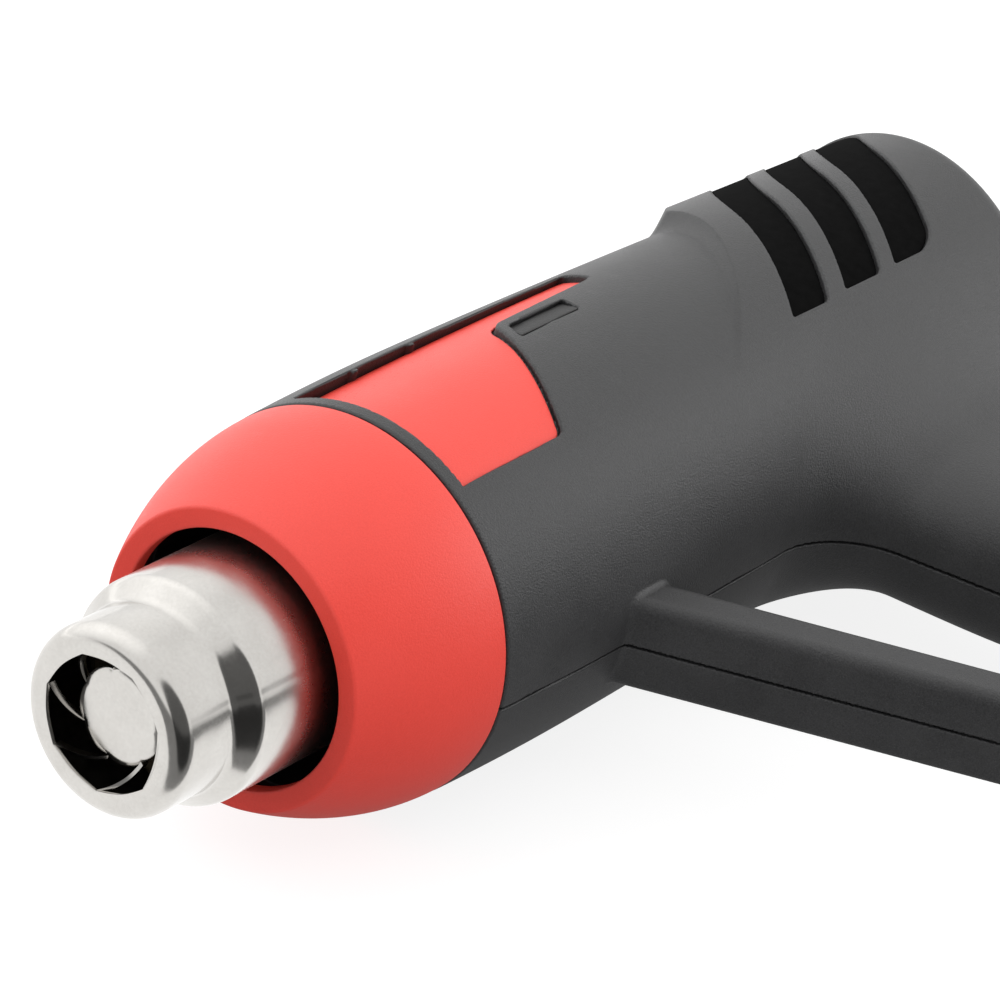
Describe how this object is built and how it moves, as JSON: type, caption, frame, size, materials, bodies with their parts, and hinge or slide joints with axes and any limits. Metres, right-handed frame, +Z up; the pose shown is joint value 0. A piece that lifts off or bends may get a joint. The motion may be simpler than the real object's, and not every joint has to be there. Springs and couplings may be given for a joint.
{
  "type": "hot air tool",
  "caption": "Pistol-grip hot air tool lying on its side: steel nozzle, domed heat guard, vented motor end and a closed knuckle guard round the handle.",
  "frame": {"origin": "centre of the underside of the bounding box, on the surface that the tool lies on", "axes": "+X from the nozzle to the rear along the barrel, +Z up out of the surface, -Y along the handle towards its foot"},
  "size_m": [0.2572, 0.2136, 0.0742],
  "materials": {
    "housing_grey": "fine moulded grain, dark grey",
    "trim_red": "fine moulded grain, bright red",
    "trim_black": "smooth black moulding",
    "nozzle_steel": "drawn and polished steel tube",
    "mica": "pressed mica sheet",
    "heater_wire": "oxidised resistance wire",
    "motor_steel": "plated steel",
    "bronze": "sintered bronze",
    "board_green": "green circuit board",
    "screw_steel": "blackened steel"
  },
  "bodies": {
    "housing": {"left_housing": "housing_grey", "right_housing": "housing_grey", "left_inlay": "trim_red", "left_badge": "trim_black", "left_vent_screen": "trim_black", "right_inlay": "trim_red", "right_badge": "trim_black", "right_vent_screen": "trim_black", "nose_ring": "trim_black", "nozzle_tube": "nozzle_steel", "swirl_plate": "nozzle_steel", "mica_sleeve": "mica", "heater_core": "mica", "heater_coil": "heater_wire", "heater_disc": "mica", "tube_support": "trim_black", "thermal_cutout": "trim_black", "fan_shroud": "trim_black", "motor_can": "motor_steel", "motor_end_cap": "trim_black", "front_bush": "bronze", "rear_bush": "bronze", "rectifier_board": "board_green", "switch_body": "trim_black", "suppressor": "trim_black", "cord_gland": "trim_black", "cord_clamp": "trim_black", "clamp_screw_1": "screw_steel", "clamp_screw_2": "screw_steel", "housing_screw_1": "screw_steel", "housing_screw_2": "screw_steel", "housing_screw_3": "screw_steel", "housing_screw_4": "screw_steel", "housing_screw_5": "screw_steel", "housing_screw_6": "screw_steel", "housing_screw_7": "screw_steel", "housing_screw_8": "screw_steel"},
    "rotor": {"fan_impeller": "trim_black", "motor_shaft": "motor_steel", "armature": "motor_steel"},
    "switch": {"switch_slider": "trim_red"},
    "collar": {"front_collar": "trim_red"}
  },
  "joints": [
    {"name": "fan_spin", "type": "hinge", "parent": "housing", "child": "rotor", "pos_m": [-0.12688, 0.06582, 0.03925], "axis": [0.9998, 0.0023, -0.0215], "continuous": true},
    {"name": "switch_slide", "type": "slide", "parent": "housing", "child": "switch", "axis": [0.3354, -0.9359, -0.1082], "range_m": [0, 0.01]},
    {"name": "collar_pull", "type": "slide", "parent": "housing", "child": "collar", "axis": [-0.9998, -0.0023, 0.0215], "range_m": [0, 0.07]}
  ]
}
